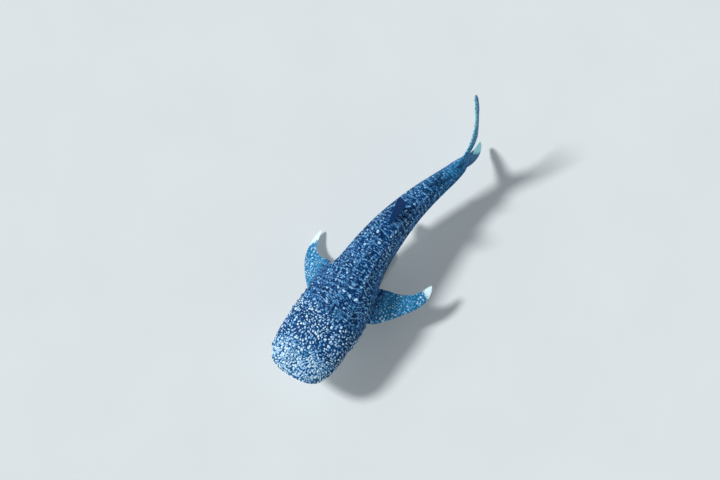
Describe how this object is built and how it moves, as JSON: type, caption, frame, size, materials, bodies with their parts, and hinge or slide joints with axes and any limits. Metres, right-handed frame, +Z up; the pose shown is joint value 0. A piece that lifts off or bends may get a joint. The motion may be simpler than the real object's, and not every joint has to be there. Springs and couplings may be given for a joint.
{
  "type": "whale shark",
  "caption": "Life-size still model of a swimming whale shark, body bent and tail swept, on a flat base with short rods.",
  "frame": {"origin": "centre of the underside of the stand's base, on the floor", "axes": "+Y from the snout towards the tail, +X to the shark's left, +Z up"},
  "size_m": [2.8214, 6.6524, 2.53],
  "materials": {
    "skin": "satin paint, slate blue above with pale spots and white below",
    "eye": "high gloss",
    "stand": "satin"
  },
  "bodies": {
    "root": {"head": "skin", "lower_jaw": "skin", "eye_left": "eye", "eye_right": "eye", "trunk_front": "skin", "trunk_rear": "skin", "tail_stalk": "skin", "pectoral_fin_left": "skin", "pectoral_fin_right": "skin", "pelvic_fin_left": "skin", "pelvic_fin_right": "skin", "dorsal_fin_first": "skin", "dorsal_fin_second": "skin", "anal_fin": "skin", "caudal_fin_upper": "skin", "caudal_fin_lower": "skin", "stand_base": "stand", "stand_rod_front": "stand", "stand_rod_rear": "stand"}
  },
  "joints": []
}
